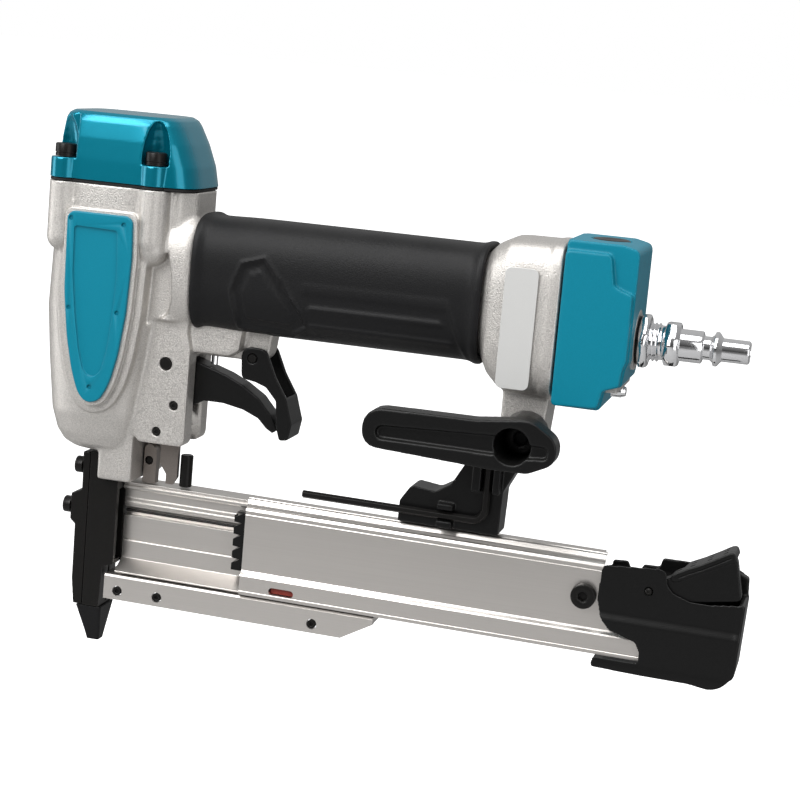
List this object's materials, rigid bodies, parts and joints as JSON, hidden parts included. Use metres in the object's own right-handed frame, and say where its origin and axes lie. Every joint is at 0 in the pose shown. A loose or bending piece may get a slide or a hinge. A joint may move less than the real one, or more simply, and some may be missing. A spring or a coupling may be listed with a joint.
{
  "type": "pneumatic pin nailer",
  "caption": "Compact air-driven pin nailer with cast body, rubber grip, double trigger, belt hook and slide-open side-loading magazine",
  "frame": {"origin": "middle of the nose tip's contact face, where the tool meets the work", "axes": "+X back along the handle towards the air inlet, +Y to the tool's right side (the belt hook is on -Y), +Z from the nose tip up through the head"},
  "size_m": [0.256, 0.0591, 0.192],
  "materials": {
    "cast_alloy": "silver paint on a fine-grained alloy casting",
    "teal_paint": "gloss metallic teal paint",
    "teal_plastic": "satin teal moulding",
    "grip_rubber": "black elastomer",
    "black_plastic": "fine-textured black moulding",
    "black_oxide": "black oxide",
    "extrusion": "drawn and anodised",
    "bright_plate": "bright plating",
    "bare_steel": "bare ground steel",
    "grey_label": "plain grey film",
    "seal_rubber": "black rubber",
    "poppet_plastic": "grey moulding"
  },
  "bodies": {
    "tool": {"body_housing": "cast_alloy", "top_cap": "teal_paint", "cap_gasket": "seal_rubber", "cap_screw_front_left": "black_oxide", "cap_screw_front_right": "black_oxide", "cap_screw_rear_left": "black_oxide", "cap_screw_rear_right": "black_oxide", "cylinder_sleeve": "bare_steel", "bumper": "seal_rubber", "head_valve_spring": "bare_steel", "trigger_valve_case": "bare_steel", "trigger_valve_spring": "bare_steel", "trigger_pin": "black_oxide", "safety_lever_pin": "black_oxide", "lockout_pin_upper": "black_oxide", "lockout_pin_lower": "black_oxide", "lockout_rod": "black_oxide", "grip_sleeve": "grip_rubber", "badge_left": "teal_plastic", "badge_right": "teal_plastic", "rear_cover": "teal_plastic", "rear_cap": "cast_alloy", "inlet_fitting": "bright_plate", "inlet_seal": "seal_rubber", "air_plug": "bright_plate", "duster_spring": "bare_steel", "duster_nozzle": "bright_plate", "rear_label": "grey_label", "nose_front_plate": "black_oxide", "nose_rear_plate": "black_oxide", "nose_screw_upper": "black_oxide", "nose_screw_lower": "black_oxide", "nose_tip": "grip_rubber", "magazine_rail": "extrusion", "pusher_rod": "black_oxide", "foot_rail": "extrusion", "foot_rail_screw_1": "black_oxide", "foot_rail_screw_2": "black_oxide", "foot_rail_screw_3": "black_oxide", "rail_hanger": "bare_steel", "rail_hanger_pin": "black_oxide", "hanger_bracket": "black_plastic", "belt_hook_screw": "black_oxide"},
    "trigger": {"trigger": "black_plastic"},
    "safety_lever": {"safety_lever": "black_plastic"},
    "valve_stem": {"trigger_valve_stem": "bright_plate"},
    "driver": {"piston": "bare_steel", "piston_ring": "seal_rubber", "driver_blade": "bare_steel"},
    "head_valve": {"head_valve": "poppet_plastic"},
    "duster_button": {"duster_button": "black_plastic"},
    "lockout_lever": {"lockout_lever": "bare_steel"},
    "belt_hook": {"belt_hook": "black_plastic"},
    "hex_key": {"hex_key": "black_oxide"},
    "magazine": {"magazine_cover": "extrusion", "end_cap": "black_plastic", "latch_pin": "black_oxide", "stop_screw": "black_oxide"},
    "latch": {"latch": "black_plastic"},
    "pusher": {"pusher": "black_plastic"}
  },
  "joints": [
    {"name": "trigger_pull", "type": "hinge", "parent": "tool", "child": "trigger", "pos_m": [0.025, 0, 0.1067], "axis": [0, -1, 0], "range_deg": [0, 6], "stiffness_Nm_per_rad": 0.5, "springref_deg": -3.44},
    {"name": "safety_swing", "type": "hinge", "parent": "tool", "child": "safety_lever", "pos_m": [0.0549, 0, 0.1116], "axis": [0, -1, 0], "range_deg": [0, 20], "stiffness_Nm_per_rad": 0.2, "springref_deg": -4.58},
    {"name": "valve_stem_lift", "type": "slide", "parent": "tool", "child": "valve_stem", "axis": [0, 0, 1], "range_m": [0, 0.0015], "deforming": ["trigger_valve_spring"]},
    {"name": "driver_stroke", "type": "slide", "parent": "tool", "child": "driver", "axis": [0, 0, -1], "range_m": [0, 0.0485]},
    {"name": "head_valve_lift", "type": "slide", "parent": "tool", "child": "head_valve", "axis": [0, 0, 1], "range_m": [0, 0.003], "stiffness_N_per_m": 1500, "springref_m": -0.002, "deforming": ["head_valve_spring"]},
    {"name": "duster_press", "type": "slide", "parent": "tool", "child": "duster_button", "axis": [0, 0, -1], "range_m": [0, 0.0025], "stiffness_N_per_m": 600, "springref_m": -0.001, "deforming": ["duster_spring"]},
    {"name": "lockout_lift", "type": "slide", "parent": "tool", "child": "lockout_lever", "axis": [0, 0, 1], "range_m": [0, 0.0025], "stiffness_N_per_m": 300, "springref_m": -0.001},
    {"name": "hook_swivel", "type": "hinge", "parent": "tool", "child": "belt_hook", "pos_m": [0.1544, -0.009, 0.0983], "axis": [0, 1, 0], "range_deg": [-90, 90]},
    {"name": "hex_key_pull", "type": "slide", "parent": "tool", "child": "hex_key", "axis": [0, -1, 0], "range_m": [0, 0.012]},
    {"name": "magazine_slide", "type": "slide", "parent": "tool", "child": "magazine", "axis": [1, 0, 0], "range_m": [-0.0475, 0]},
    {"name": "latch_press", "type": "hinge", "parent": "magazine", "child": "latch", "pos_m": [0.2012, 0, 0.0524], "axis": [0, 1, 0], "range_deg": [0, 5], "stiffness_Nm_per_rad": 0.8, "springref_deg": -2.86},
    {"name": "pusher_travel", "type": "slide", "parent": "magazine", "child": "pusher", "axis": [1, 0, 0], "range_m": [0, 0.095], "stiffness_N_per_m": 30, "springref_m": -0.04}
  ],
  "couplings": [
    {"joint": "valve_stem_lift", "follows": "trigger_pull", "m_per_rad": 0.014}
  ]
}
